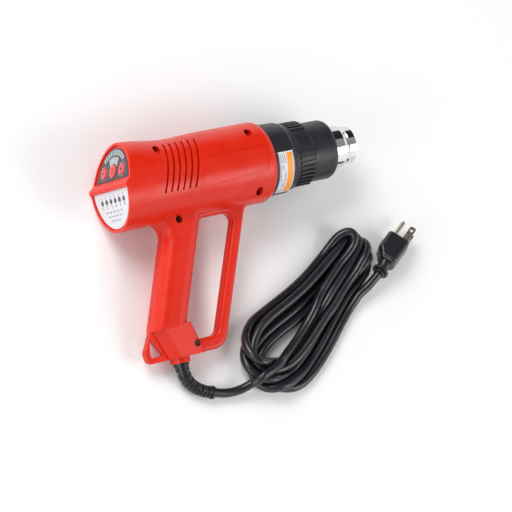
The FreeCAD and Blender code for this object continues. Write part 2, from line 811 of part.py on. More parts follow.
def motor():
    """Motor can with its bushings, shaft and mount."""
    front = size_of("motor_x") + size_of("motor_len")
    can = turned("motor_can", [
        ("dims.motor_x", 3.6),
        ("dims.motor_x", "dims.motor_r - 1.5"),
        ("dims.motor_x + 1.5", "dims.motor_r"),
        ("dims.motor_x + dims.motor_len", "dims.motor_r"),
        ("dims.motor_x + dims.motor_len", 3.6),
    ])
    piece("motor_body", can)
    rear = tube("rear_bushing", "x", 3.6, "dims.shaft_r + 0.04", 4, ("dims.motor_x", 0, 0))
    nose = tube("front_bushing", "x", 3.6, "dims.shaft_r + 0.04", 5, (front - 4, 0, 0))
    piece("motor_bushings", group("bushings", [rear, nose]))
    length = size_of("fan_x") + size_of("fan_len") - size_of("motor_x") + 1
    shaft = turned("shaft_body", [
        ("dims.motor_x - 2", 0),
        ("dims.motor_x - 2", "dims.shaft_r"),
        (f"dims.motor_x + {length}", "dims.shaft_r"),
        (f"dims.motor_x + {length}", 0),
    ])
    piece("motor_shaft", shaft)
    seat = ("dims.motor_x + 22", 0, 0)
    ring = tube("mount_ring", "x", "dims.motor_r + 2.5", "dims.motor_r + 0.05", 8, seat)
    arms = []
    for number, angle in enumerate((45, 135, 225, 315)):
        turn = Rotation(Vector(1, 0, 0), angle)
        arm = block(f"mount_arm_{number}", (8, 18, 4), (0, 0, 0), turn)
        corner = turn.multVec(Vector(0, size_of("motor_r") + 1.0, -2))
        bind(arm, base_at(("dims.motor_x + 22", corner.y, corner.z)))
        arms.append(arm)
    inside = barrel_form("mount_envelope", size_of("wall") + 0.1, 120.0)
    piece("motor_mount", common("mount_trimmed", fuse("mount_whole", ring, *arms), inside))


def fan():
    """Axial fan: hub and nine pitched blades."""
    hub = tube("fan_hub", "x", 9, "dims.shaft_r", "dims.fan_len", ("dims.fan_x", 0, 0))
    blades = []
    count = 9
    for number in range(count):
        turn = Rotation(Vector(1, 0, 0), 360.0 * number / count)
        pitch = Rotation(Vector(0, 1, 0), 38)
        whole_turn = turn.multiply(pitch)
        blade = block(f"fan_blade_{number}", (14, 26, 1.4), (0, 0, 0), whole_turn)
        corner = whole_turn.multVec(Vector(-7, 8, -0.7))
        station = f"dims.fan_x + dims.fan_len / 2 + {corner.x:.4f}"
        bind(blade, base_at((station, corner.y, corner.z)))
        blades.append(blade)
    reach = rod("fan_reach", "x", "dims.fan_r", 40, (90, 0, 0))
    trimmed = common("fan_blades", fuse("blade_ring", *blades), reach)
    bore = rod("fan_bore", "x", "dims.shaft_r", 60, (80, 0, 0))
    piece("fan_impeller", cut("fan_bored", fuse("fan_whole", hub, trimmed), bore))
    piece("fan_shroud", turned("shroud", [
        (98, 33.6), (98, 35.4), (119, 35.4), (129.5, 22.6), (134, 21.9), (134, 20.4),
        (129, 20.9), (118, 33.6),
    ]))


def heater():
    """Heater: mica former, coils, liner, tube, sensor and fuse."""
    plates = [centred(f"mica_plate_{n}", size, (182, 0, 0))
              for n, size in enumerate(((98, 34, 1), (98, 1, 34)))]
    discs = [rod(f"mica_disc_{n}", "x", 17.4, 1, (x, 0, 0)) for n, x in enumerate((134, 181.5, 229))]
    spots = [(y, z) for y in (-7.6, 7.6) for z in (-7.6, 7.6)]
    seats = [rod(f"coil_seat_{n}", "x", 4.3, 120, (125, y, z)) for n, (y, z) in enumerate(spots)]
    former = cut("former", fuse("former_whole", *plates, *discs), *seats)
    piece("heater_former", former)
    coils = [tube(f"coil_{n}", "x", 4.2, 3.2, 96, (133.5, y, z)) for n, (y, z) in enumerate(spots)]
    piece("heating_coils", group("coils", coils))
    piece("mica_sleeve", tube("sleeve_of_mica", "x", 19.0, 18.2, 104, (130, 0, 0)))
    rim = "dims.outlet_r"
    skin = "dims.tube_t"
    piece("nozzle", turned("nozzle_tube", [
        (127, "dims.tube_r - dims.tube_t"), (127, "dims.tube_r"), (240.5, "dims.tube_r"),
        (243.0, "dims.tube_r - 1.2"), (244.2, f"{rim} - 0.7"), (245.6, f"{rim} - 0.7"),
        (247.0, rim), ("dims.tip_x", rim), ("dims.tip_x", f"{rim} - {skin}"),
        (246.6, f"{rim} - {skin} - 0.6"), (243.4, f"{rim} - {skin} - 0.8"),
        (240.0, "dims.tube_r - dims.tube_t"),
    ]))
    sensor = fuse("sensor_whole", rod("sensor_bead", "x", 1.4, 5, (235.2, 0, 0)),
                  rod("sensor_lead", "x", 0.6, 4.3, (231.1, 0, 0)))
    piece("temperature_sensor", sensor)
    piece("thermal_fuse", group("fuse_body", [rod("fuse_case", "x", 2.0, 10, (119.5, 0, 12.5))]))


# ---------------------------------------------------------------- front end

COLLAR_SCREW_CIRCLE = 29.4
COLLAR_SCREWS = [
    (COLLAR_SCREW_CIRCLE * math.cos(angle), COLLAR_SCREW_CIRCLE * math.sin(angle))
    for angle in (0, 2 * math.pi / 3, 4 * math.pi / 3)
]


def front_collar():
    """Fixed collar, its flange and screws."""
    piece("rear_collar", turned("collar", [
        (151.0, 27.0), (151.0, 31.8), (155.6, 31.8), (155.6, "dims.collar_r - 0.4"),
        (156.2, "dims.collar_r"), (176.0, "dims.collar_r - 0.6"), (178.2, "dims.collar_r - 1.6"),
        (178.6, 31.9), (183.0, 31.2), (183.0, "dims.neck_r"), (199.0, "dims.neck_r"),
        (199.0, 24.4), (176.0, 24.4), (173.0, 27.0),
    ]))
    plate = turned("flange_plate", [(147.6, 20.25), (147.6, 31.8), (150.9, 31.8), (150.9, 20.25)])
    holes = []
    for number in range(6):
        angle = math.radians(60 * number + 30)
        spot = (140, 25.8 * math.cos(angle), 25.8 * math.sin(angle))
        holes.append(rod(f"flange_air_{number}", "x", 2.6, 20, spot))
    for number, (y, z) in enumerate(COLLAR_SCREWS):
        holes.append(rod(f"flange_screw_{number}", "x", 1.55, 20, (140, y, z)))
    piece("nozzle_flange", cut("flange", plate, *holes))
    ahead = Vector(1, 0, 0)
    screws = [screw_shape(Vector(147.6, y, z), ahead, 2.2, 1.6, 1.5, 10.0) for y, z in COLLAR_SCREWS]
    piece("collar_screws", shaped("collar_screw_set", Part.makeCompound(screws)))
    collar = PIECES["rear_collar"]
    bores = [rod(f"collar_pilot_{n}", "x", 1.55, 9, (150.5, y, z)) for n, (y, z) in enumerate(COLLAR_SCREWS)]
    collar.Placement = FLAT
    piece("rear_collar", cut("collar_drilled", collar, *bores))


def collar_label():
    """The curved plate on the collar and its coloured band."""
    def curved(name, low, high, start, end, inner, outer):
        ring = tube(f"{name}_ring", "x", outer, inner, f"{high} - {low}", (low, 0, 0))
        rays = [math.radians(angle) for angle in (start, (start + end) / 2, end)]
        corners = [Vector(140, 0, 0)] + [Vector(140, 70 * math.cos(a), 70 * math.sin(a)) for a in rays]
        side = Part.Face(Part.makePolygon(corners + corners[:1])).extrude(Vector(60, 0, 0))
        return common(name, ring, shaped(f"{name}_side", side))

    piece("collar_label", curved("label_plate", 158.2, 174.4, 84, 160, 34.05, 34.3))
    piece("label_band", curved("band_plate", 167.0, 172.6, 86.5, 157.5, 34.35, 34.55))


def locking_ring():
    """The ribbed ring: three groups of ribs with smooth gaps between them."""
    ring = turned("ring_body", [
        ("dims.ring_x", "dims.neck_r + dims.gap"), ("dims.ring_x", "dims.ring_r - 0.4"),
        ("dims.ring_x + 0.6", "dims.ring_r"), (200.0, "dims.ring_r - 0.9"),
        (200.7, "dims.ring_r - 1.5"), (200.7, "dims.neck_r + dims.gap"),
    ])
    ribs = []
    per_group = 9
    pitch = 8.6
    for centre in (7, 127, 247):
        for number in range(per_group):
            angle = centre + pitch * (number - (per_group - 1) / 2)
            turn = Rotation(Vector(1, 0, 0), angle)
            rib = block(f"rib_{centre}_{number}", (15.4, 3.2, 2.2), (0, 0, 0), turn)
            corner = turn.multVec(Vector(0, size_of("ring_r") - 2.2, -1.1))
            bind(rib, base_at(("dims.ring_x + 1", corner.y, corner.z)))
            ribs.append(rib)
    whole = fuse("ring_ribbed", ring, *ribs)
    piece("locking_ring", whole)


def guard_sleeve():
    """The sliding guard sleeve and the guide tube pressed into its rear wall."""
    inner = "dims.sleeve_r - 2"
    piece("guard_sleeve", turned("sleeve", [
        ("dims.sleeve_x", "dims.guide_r"), ("dims.sleeve_x", "dims.sleeve_r - 0.5"),
        ("dims.sleeve_x + 0.6", "dims.sleeve_r"), ("dims.sleeve_tip - 3.4", "dims.sleeve_r"),
        ("dims.sleeve_tip - 1.0", "dims.sleeve_r - 1.0"), ("dims.sleeve_tip", "dims.sleeve_r - 3.2"),
        ("dims.sleeve_tip", 22.4), ("dims.sleeve_tip - 2", 22.4), ("dims.sleeve_tip - 3.2", inner),
        ("dims.sleeve_x + 2.2", inner), ("dims.sleeve_x + 2.2", "dims.guide_r"),
    ]))
    guide = tube("guide_tube", "x", "dims.guide_r", "dims.guide_r - 1.7", 14.7, (189, 0, 0))
    piece("sleeve_guide", guide)


# ---------------------------------------------------------------- handle internals


def clamp_posts_form():
    posts = [rod(f"clamp_post_{side}", "z", 2.8, 30, (f"dims.gland_x + {side * 7.6}", -141, -25.7))
             for side in (-1, 1)]
    return fuse("clamp_posts", *posts)


def clamp_pilots():
    return [rod(f"clamp_pilot_{side}", "z", 1.3, 9, (f"dims.gland_x + {side * 7.6}", -141, -4.7))
            for side in (-1, 1)]


def cord_entry():
    """Cable stub inside the base, its clamp bar and screws."""
    stub_start = ("dims.gland_x", "dims.gland_y + dims.anchor_depth", 0)
    piece("cord_stub", group("stub", [rod("stub_rod", "y", "dims.cord_r", 23.8, stub_start)]))
    bar = centred("clamp_bar", (21, 6, 2.4), ("dims.gland_x", -141, 5.5))
    holes = [rod(f"bar_hole_{side}", "z", 1.45, 8, (f"dims.gland_x + {side * 7.6}", -141, 2))
             for side in (-1, 1)]
    piece("cord_clamp", cut("clamp", bar, *holes))
    screws = []
    for side in (-1, 1):
        seat = Vector(size_of("gland_x") + side * 7.6, -141, 6.7)
        screws.append(screw_shape(seat, Vector(0, 0, -1), 2.4, 1.5, 1.25, 9.0))
    piece("clamp_screws", shaped("clamp_screw_pair", Part.makeCompound(screws)))


def power_electronics():
    """Power board in the grip with heat sink and capacitor, and the wiring."""
    turn = Rotation(Vector(0, 0, 1), -math.degrees(math.atan(size_of("grip_slope"))))

    def on_board(item_name, size, at):
        item = block(item_name, size, (0, 0, 0), turn)
        corner = turn.multVec(Vector(*at)) + Vector(size_of(grip_rear(-82)) + 17.9, -82, 0)
        bind(item, base_at((corner.x, corner.y, corner.z)))
        return item

    board = on_board("power_board_plate", (20, 62, 1.6), (-10, -31, -6))
    piece("power_board", group("board_of_power", [board]))
    fins = [on_board(f"sink_fin_{n}", (1.4, 22, 8), (-8 + 3.4 * n, 4, -3.4)) for n in range(4)]
    root = on_board("sink_root", (11.6, 22, 1.4), (-8, 4, -4.4))
    piece("heat_sink", fuse("sink", root, *fins))
    piece("power_capacitor", group("capacitor", [on_board("capacitor_case", (9, 14, 8), (-4, -24, -4.4))]))
    runs = {
        "live": [(30.6, -130.5, 0), (33.0, -119.5, -1.5), (38.5, -112.0, -3.0)],
        "neutral": [(34.6, -130.5, 0), (37.0, -121.0, -1.5), (43.0, -113.0, -3.0)],
        "board": [(60.0, -52.4, -5.0), (64.0, -42.0, -6.0), (61.0, -31.0, -7.0), (50.0, -27.0, -6.0),
                  (38.0, -24.0, -5.0), (29.0, -14.0, -3.0), (25.5, 3.5, 0.0)],
    }
    wires = [pipe(f"wire_{name}", points_of(places), 1.1) for name, places in runs.items()]
    piece("internal_wires", shaped("wire_set", Part.makeCompound(wires)))


def casing_screws():
    screws = []
    for x, y, seat in screw_places():
        top = Vector(x, y, size_of(seat))
        length = size_of(seat) + 9.0
        screws.append(screw_shape(top, Vector(0, 0, -1), size_of("head_r"), 2.2, size_of("screw_r"), length))
    piece("housing_screws", shaped("casing_screw_set", Part.makeCompound(screws)))


# ---------------------------------------------------------------- lead and plug

# Free lead, lying on the table, in the part's own frame.
RELIEF_ROUTE = [(-86.9, -124.6, 7.6), (-75.9, -131.8, 6.7), (-67.6, -134.3, 6.4)]
LEAD_ROUTE = [(-67.6, -134.3, 6.4), (-54.1, -138.0, 5.6), (-39.9, -138.2, 5.0), (-26.6, -134.5, 5.6)]
TAIL_ROUTE = [(110.6, -77.2, 7.4), (119.2, -73.2, 9.6), (127.2, -68.1, 12.5), (134.4, -63.0, 14.1)]
HANK_OUTLINE = [
    (-27, -107), (-9, -82), (108, -22), (127, -25), (132, -54), (110, -82), (30, -148), (0, -153),
    (-28, -135),
]
PLUG_AT = (134.4, -63.0, 14.1)
PLUG_HEADING = 35.0
PLUG_ROLL = -22.0


def mains_lead():
    """Strain relief, straight lead, coiled lead and tail."""
    gland_face = LYING.multVec(Vector(size_of("gland_x"), size_of("gland_y"), 0))
    outward = LYING.Rotation.multVec(Vector(0, -1, 0))
    relief_points = [gland_face, gland_face + outward * 12.7] + points_of(RELIEF_ROUTE)
    taper = pipe("strain_relief", relief_points, 6.7, 5.5)
    anchor = gland_face - outward * size_of("anchor_depth")
    neck_r = size_of("gland_bore") - 0.1
    neck = Part.makeCylinder(neck_r, size_of("anchor_depth"), anchor, outward)
    flange = Part.makeCylinder(8.0, 2.0, anchor, outward)
    end = relief_points[-1]
    end_run = relief_points[-1] - relief_points[-2]
    end_run.normalize()
    cuff = Part.makeCylinder(6.3, 2.4, end - end_run * 2.4, end_run)
    piece("strain_relief", shaped("relief", taper.fuse([neck, flange, cuff])), FLAT)
    cord_r = size_of("cord_r")
    piece("cord_lead", shaped("lead", pipe("cord_lead", points_of(LEAD_ROUTE), cord_r)), FLAT)
    hank = slab("hank", HANK_OUTLINE, "dims.hank_top", side="One side")
    round_edges(hank, 14, upright_at(*HANK_OUTLINE))
    top = size_of("hank_top")
    round_edges(hank, 7, lambda edge: edge.BoundBox.ZMin > top - 0.01)
    piece("cord_hank", hank, FLAT)
    piece("cord_tail", shaped("tail", pipe("cord_tail", points_of(TAIL_ROUTE), cord_r)), FLAT)


def plug():
    """Moulded plug with two flat blades and a round earth pin."""
    turn = Rotation(Vector(0, 0, 1), PLUG_HEADING).multiply(Rotation(Vector(1, 0, 0), PLUG_ROLL))
    frame = Placement(Vector(*PLUG_AT), turn)
    face_x = 43.2
    half = 10.5
    outline = [(14, -8.0), (face_x, -8.0), (face_x, 14.8), (23, 14.8), (14, 7.2)]
    corners = [Vector(x, y, -half) for x, y in outline]
    shell = Part.Face(Part.makePolygon(corners + corners[:1])).extrude(Vector(0, 0, 2 * half))
    rear_edges = [e for e in shell.Edges if e.BoundBox.ZLength > 1 and e.BoundBox.XMin < face_x - 0.1]
    shell = shell.makeFillet(5.0, rear_edges)
    rims = [e for e in shell.Edges if e.BoundBox.ZLength < 0.01 and e.BoundBox.XMin < face_x - 0.1]
    shell = shell.makeFillet(4.2, rims)
    shell = shell.makeFillet(1.0, [e for e in shell.Edges if e.BoundBox.XMin > face_x - 0.1])
    along = Vector(1, 0, 0)
    rings = [(0, 0.0, 5.4), (8, 0.2, 5.9), (18, 2.2, 7.4)]
    root = Part.makeLoft([ring_wire(r, Vector(x, y, 0), along) for x, y, r in rings], True, False)
    flange = Part.makeCylinder(8.0, 2.2, Vector(3.0, 0, 0), along)
    piece("plug_body", shaped("plug_moulding", shell.fuse([root, flange])), frame)
    blade_y = -2.45
    blades = []
    for offset in (-6.35, 6.35):
        blade = Part.makeBox(17.6, 6.3, 1.5, Vector(face_x, blade_y - 3.15, offset - 0.75))
        tip_edges = [e for e in blade.Edges if e.BoundBox.XMin > face_x + 17 and e.BoundBox.ZLength > 1]
        blade = blade.makeChamfer(1.2, tip_edges)
        hole = Part.makeCylinder(1.55, 4, Vector(face_x + 13.4, blade_y, offset - 2), Vector(0, 0, 1))
        blades.append(blade.cut(hole))
    piece("plug_blades", shaped("blade_pair", Part.makeCompound(blades)), frame)
    pin_y = blade_y + 11.9
    pin = Part.makeCylinder(2.4, 19.4, Vector(face_x, pin_y, 0), along)
    pin = pin.fuse(Part.makeSphere(2.4, Vector(face_x + 19.4, pin_y, 0)))
    piece("plug_earth_pin", shaped("earth_pin", pin), frame)


# ---------------------------------------------------------------- assembly

casing()
rear_cap()
keypad()
lower_face()
control_electronics()
motor()
fan()
heater()
front_collar()
collar_label()
locking_ring()
guard_sleeve()
cord_entry()
power_electronics()
casing_screws()
mains_lead()
plug()
doc.recompute()

for item in doc.Objects:
    if any(flag in ("Invalid", "Error") for flag in item.State):
        raise RuntimeError(f"{item.Name}: {item.State}")

for name, item in PIECES.items():
    if item.Shape.isNull() or not item.Shape.isValid():
        raise RuntimeError(f"{name}: its shape is null or not valid")
    item.Shape.exportStep(os.path.join("parts", f"{name}.step"))
    print(name, len(item.Shape.Solids), "solids,", round(item.Shape.Volume / 1000, 2), "cm3")
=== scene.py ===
"""Looks of the heat gun: materials, printed details, strain relief, coiled mains lead and studio."""

import json
import math

import bmesh
import bpy
import numpy as np
from mathutils import Matrix, Vector


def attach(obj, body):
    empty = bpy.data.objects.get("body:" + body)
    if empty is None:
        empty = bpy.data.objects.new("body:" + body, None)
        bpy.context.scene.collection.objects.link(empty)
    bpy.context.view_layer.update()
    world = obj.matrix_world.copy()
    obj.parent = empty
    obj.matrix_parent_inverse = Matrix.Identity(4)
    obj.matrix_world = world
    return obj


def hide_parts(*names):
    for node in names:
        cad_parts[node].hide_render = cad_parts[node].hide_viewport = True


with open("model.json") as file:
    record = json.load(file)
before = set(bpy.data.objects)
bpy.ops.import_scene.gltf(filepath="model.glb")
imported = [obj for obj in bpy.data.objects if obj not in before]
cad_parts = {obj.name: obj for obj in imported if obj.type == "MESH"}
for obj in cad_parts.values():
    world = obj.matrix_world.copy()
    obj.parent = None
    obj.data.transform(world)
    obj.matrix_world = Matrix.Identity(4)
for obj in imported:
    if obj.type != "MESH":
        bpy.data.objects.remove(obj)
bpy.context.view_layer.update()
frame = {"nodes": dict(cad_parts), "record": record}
NODES = frame["nodes"]
SCENE = bpy.context.scene
SLOTS = {part["node"]: part["material_slot"] for part in frame["record"]["subparts"]}

# ---------------------------------------------------------------- the gun's own frame

ROLL = math.radians(9.45)
GUN_ORIGIN = Vector((-0.1257, 0.0614, 0.0382))
PANEL_LEAN = math.radians(19.54)
PANEL_ORIGIN = Vector((0.0024, 0.0060, 0.0))
LOWER_FACE_X = -0.0010
BUTTON_PITCH = 0.01835
BUTTON_V = 0.01135
BUTTON_TOP = 0.0009
LENS_SPOTS = [-0.0205 + 0.0088 * number for number in range(6)]
LENS_V = -0.0095

GUN = Matrix.Translation(GUN_ORIGIN) @ Matrix.Rotation(ROLL, 4, "X")


def face_frame(station, height, lean):
    """Frame on a rear face, in the row frame: X to the gun's right, Y up the face, Z out."""
    across = Vector((0, 0, 1))
    upward = Vector((math.sin(lean), math.cos(lean), 0))
    outward = Vector((-math.cos(lean), math.sin(lean), 0))
    turn = Matrix((across, upward, outward)).transposed().to_4x4()
    return GUN @ Matrix.Translation((station, height, 0)) @ turn


PANEL = face_frame(PANEL_ORIGIN.x, PANEL_ORIGIN.y, PANEL_LEAN)
LOWER_FACE = face_frame(LOWER_FACE_X, 0, 0)

# ---------------------------------------------------------------- materials


# Pointiness at which an edge starts to look worn, and at which it is fully worn.
SHARP_LIMITS = (0.51, 0.56)
# Distances from the casing's middle where the seam's line is full, and where it has faded out.
SEAM_LIMITS = (0.00012, 0.00035)


class Nodes:
    """Short-hand for building one material's node tree."""

    def __init__(self, name):
        self.material = bpy.data.materials.new(name)
        self.material.use_nodes = True
        self.tree = self.material.node_tree
        self.shader = self.tree.nodes["Principled BSDF"]
        self.place = self.add("ShaderNodeTexCoord").outputs["Object"]

    def add(self, kind, **settings):
        node = self.tree.nodes.new(kind)
        for name, value in settings.items():
            setattr(node, name, value)
        return node

    def link(self, start, end):
        self.tree.links.new(start, end)

    def noise(self, scale, detail=3.0, rough=0.5, place=None):
        node = self.add("ShaderNodeTexNoise")
        node.inputs["Scale"].default_value = scale
        node.inputs["Detail"].default_value = detail
        node.inputs["Roughness"].default_value = rough
        self.link(place or self.place, node.inputs["Vector"])
        return node.outputs["Fac"]

    def spread(self, value, low, high, to_low, to_high):
        node = self.add("ShaderNodeMapRange")
        node.inputs["From Min"].default_value = low
        node.inputs["From Max"].default_value = high
        node.inputs["To Min"].default_value = to_low
        node.inputs["To Max"].default_value = to_high
        self.link(value, node.inputs["Value"])
        return node.outputs["Result"]

    def sums(self, operation, first, second):
        node = self.add("ShaderNodeMath", operation=operation)
        for socket, value in zip(node.inputs, (first, second)):
            if isinstance(value, (int, float)):
                socket.default_value = value
            else:
                self.link(value, socket)
        return node.outputs["Value"]

    def mix(self, factor, one, other):
        node = self.add("ShaderNodeMix", data_type="RGBA")
        self.link(factor, node.inputs["Factor"])
        for socket, colour in ((node.inputs["A"], one), (node.inputs["B"], other)):
            if isinstance(colour, tuple):
                socket.default_value = (*colour, 1)
            else:
                self.link(colour, socket)
        return node.outputs["Result"]

    def bump(self, height, strength, distance, before=None):
        node = self.add("ShaderNodeBump")
        node.inputs["Strength"].default_value = strength
        node.inputs["Distance"].default_value = distance
        self.link(height, node.inputs["Height"])
        if before:
            self.link(before, node.inputs["Normal"])
        return node.outputs["Normal"]

    def edges(self):
        """Nought on flat faces and one on sharp outer edges."""
        sharp = self.add("ShaderNodeNewGeometry").outputs["Pointiness"]
        return self.spread(sharp, *SHARP_LIMITS, 0, 1)

    def finish(self, colour, roughness, normal, **constants):
        self.link(colour, self.shader.inputs["Base Color"])
        self.link(roughness, self.shader.inputs["Roughness"])
        self.link(normal, self.shader.inputs["Normal"])
        for name, value in constants.items():
            self.shader.inputs[name.replace("_", " ")].default_value = value
        return self.material


def shade(colour, factor):
    return tuple(min(channel * factor, 1) for channel in colour)


def moulded(name, colour, rough=0.38, grain=0.25, grain_scale=1400, worn=1.35, seam=False, **constants):
    """Moulded plastic or rubber: faint mottling, a fine grain and slightly worn edges."""
    nodes = Nodes(name)
    cloudy = nodes.noise(scale=28, detail=4, rough=0.6)
    tinted = nodes.mix(cloudy, shade(colour, 0.86), shade(colour, 1.14))
    rubbed = nodes.sums("MULTIPLY", nodes.edges(), nodes.noise(scale=260, detail=4))
    tinted = nodes.mix(rubbed, tinted, shade(colour, worn))
    smears = nodes.noise(scale=55, detail=5, rough=0.65)
    roughness = nodes.spread(smears, 0.3, 0.7, rough - 0.07, rough + 0.09)
    normal = nodes.bump(nodes.noise(grain_scale, detail=2), grain, 0.0002)
    normal = nodes.bump(nodes.noise(scale=90, detail=2), 0.10, 0.0006, normal)
    if seam:
        line = seam_line(nodes)
        tinted = nodes.mix(line, tinted, shade(colour, 0.25))
        groove = nodes.sums("SUBTRACT", 1.0, line)
        normal = nodes.bump(groove, 0.8, 0.0004, normal)
    return nodes.finish(tinted, roughness, normal, **constants)


def seam_line(nodes):
    """One on the line where the casing's halves meet and nought elsewhere."""
    dot = nodes.add("ShaderNodeVectorMath", operation="DOT_PRODUCT")
    nodes.link(nodes.place, dot.inputs[0])
    dot.inputs[1].default_value = (0, -math.sin(ROLL), math.cos(ROLL))
    middle = -math.sin(ROLL) * GUN_ORIGIN.y + math.cos(ROLL) * GUN_ORIGIN.z
    away = nodes.sums("ABSOLUTE", nodes.sums("SUBTRACT", dot.outputs["Value"], middle), 0)
    return nodes.spread(away, *SEAM_LIMITS, 1, 0)


def metal(name, colour, rough, brushed=0.0, tint=None, **constants):
    """Metal with fine scratches along X, deeper where brushed is larger; tint colours patches of it."""
    nodes = Nodes(name)
    cloudy = nodes.noise(scale=60, detail=4, rough=0.6)
    tinted = nodes.mix(cloudy, shade(colour, 0.86), shade(colour, 1.06))
    if tint:
        patches = nodes.spread(nodes.noise(scale=45, detail=3, rough=0.5), 0.45, 0.7, 0, 1)
        tinted = nodes.mix(patches, tinted, tint)
    smears = nodes.noise(scale=120, detail=5, rough=0.7)
    roughness = nodes.spread(smears, 0.3, 0.7, rough * 0.75, rough * 1.4)
    stretch = nodes.add("ShaderNodeMapping")
    stretch.inputs["Scale"].default_value = (90, 2600, 2600)
    nodes.link(nodes.place, stretch.inputs["Vector"])
    lines = nodes.noise(scale=1.0, detail=3, place=stretch.outputs["Vector"])
    normal = nodes.bump(lines, 0.06 + brushed, 0.0001)
    return nodes.finish(tinted, roughness, normal, Metallic=1.0, **constants)


def flecked(name, colour, fleck, scale, rough, metallic=0.0):
    """Board material with flecks of a second colour."""
    nodes = Nodes(name)
    cells = nodes.add("ShaderNodeTexVoronoi")
    cells.inputs["Scale"].default_value = scale
    nodes.link(nodes.place, cells.inputs["Vector"])
    spots = nodes.spread(cells.outputs["Distance"], 0.1, 0.5, 1, 0)
    patchy = nodes.sums("MULTIPLY", spots, nodes.noise(scale=160, detail=3))
    tinted = nodes.mix(patchy, colour, fleck)
    roughness = nodes.spread(nodes.noise(scale=80, detail=4), 0.3, 0.7, rough - 0.08, rough + 0.1)
    normal = nodes.bump(spots, 0.15, 0.0002)
    return nodes.finish(tinted, roughness, normal, Metallic=metallic)


# moulded: colour, roughness, grain's strength, grain's scale, brightness of worn edges.
# metal: colour, roughness, strength of the brushing. flecked: colour, flecks' colour, scale, roughness.
MATERIALS = {
    "red_plastic": moulded("red_plastic", (0.66, 0.018, 0.004), 0.30, 0.10, 1500, 1.12, seam=True,
                           Specular_IOR_Level=0.34),
    "black_plastic": moulded("black_plastic", (0.014, 0.012, 0.016), 0.40, 0.30, 1100, 1.8,
                             Specular_IOR_Level=0.40),
    "dark_overlay": moulded("dark_overlay", (0.040, 0.038, 0.042), 0.30, 0.10, 2200, 1.3),
    "grey_window": moulded("grey_window", (0.36, 0.39, 0.43), 0.22, 0.05, 1800, 1.1),
    "coral_button": moulded("coral_button", (0.88, 0.075, 0.075), 0.28, 0.08, 1800, 1.1),
    "white_label": moulded("white_label", (0.66, 0.66, 0.69), 0.42, 0.05, 2400, 1.05),
    "orange_band": moulded("orange_band", (0.95, 0.30, 0.015), 0.42, 0.05, 2400, 1.1),
    "dark_lens": moulded("dark_lens", (0.014, 0.014, 0.018), 0.14, 0.03, 2400, 1.5, Coat_Weight=0.5),
    "circuit_board": flecked("circuit_board", (0.02, 0.12, 0.05), (0.03, 0.20, 0.09), 900, 0.35),
    "steel": metal("steel", (0.46, 0.45, 0.44), 0.34, 0.05),
    "dark_steel": metal("dark_steel", (0.10, 0.085, 0.075), 0.45, 0.05),
    "chrome": metal("chrome", (0.80, 0.81, 0.82), 0.10, 0.0, tint=(0.74, 0.75, 0.74)),
    "brass": metal("brass", (0.55, 0.38, 0.14), 0.36, 0.04),
    "aluminium": metal("aluminium", (0.62, 0.63, 0.64), 0.34, 0.12),
    "mica": flecked("mica", (0.42, 0.34, 0.22), (0.66, 0.58, 0.42), 420, 0.45),
    "resistance_wire": metal("resistance_wire", (0.30, 0.27, 0.24), 0.45, 0.10),
    "fan_plastic": moulded("fan_plastic", (0.03, 0.03, 0.033), 0.42, 0.3, 900, 1.8),
    "grey_plastic": moulded("grey_plastic", (0.16, 0.17, 0.18), 0.42, 0.25, 1100, 1.4),
    "cord_sheath": moulded("cord_sheath", (0.010, 0.009, 0.013), 0.26, 0.18, 1300, 1.6,
                           Specular_IOR_Level=0.55),
    "blade_metal": metal("blade_metal", (0.60, 0.54, 0.46), 0.24, 0.05),
    "print_ink": moulded("print_ink", (0.05, 0.05, 0.055), 0.45, 0.05, 2400, 1.1),
    "print_grey": moulded("print_grey", (0.34, 0.34, 0.36), 0.45, 0.05, 2400, 1.1),
}

# The casing's screws are given a darker steel than the others.
LOOKS = {**SLOTS, "housing_screws": "dark_steel"}

for node_name, look_name in LOOKS.items():
    mesh = NODES[node_name].data
    mesh.materials.clear()
    mesh.materials.append(MATERIALS[look_name])

# ---------------------------------------------------------------- small pieces


def mesh_piece(name, verts, faces, look, slot, body="gun"):
    """A new piece from its corners and faces, already in the row frame."""
    mesh = bpy.data.meshes.new(name)
    mesh.from_pydata([tuple(v) for v in verts], [], faces)
    mesh.validate()
    tidy = bmesh.new()
    tidy.from_mesh(mesh)
    bmesh.ops.recalc_face_normals(tidy, faces=tidy.faces)
    tidy.to_mesh(mesh)
    tidy.free()
    mesh.shade_flat()
    mesh.materials.append(MATERIALS[look])
    piece = bpy.data.objects.new(name, mesh)
    SCENE.collection.objects.link(piece)
    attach(piece, body)
    return piece


def raised(outlines, low, high, matrix):
    """Corners and faces of flat shapes raised from low to high over a face."""
    verts = []
    faces = []
    for outline in outlines:
        count = len(outline)
        start = len(verts)
        verts += [matrix @ Vector((u, v, low)) for u, v in outline]
        verts += [matrix @ Vector((u, v, high)) for u, v in outline]
        faces.append([start + n for n in reversed(range(count))])
        faces.append([start + count + n for n in range(count)])
        for n in range(count):
            after = (n + 1) % count
            faces.append([start + n, start + after, start + count + after, start + count + n])
    return verts, faces


def bar(u, v, width, height, corner=0.3):
    """A small rounded bar about the point u, v."""
    ease = min(width, height) * corner
    points = []
    for cx, cy, first in ((1, 1, 0), (-1, 1, 90), (-1, -1, 180), (1, -1, 270)):
        for step in range(4):
            angle = math.radians(first + 30 * step)
            points.append((u + cx * (width / 2 - ease) + ease * math.cos(angle),
                           v + cy * (height / 2 - ease) + ease * math.sin(angle)))
    return points


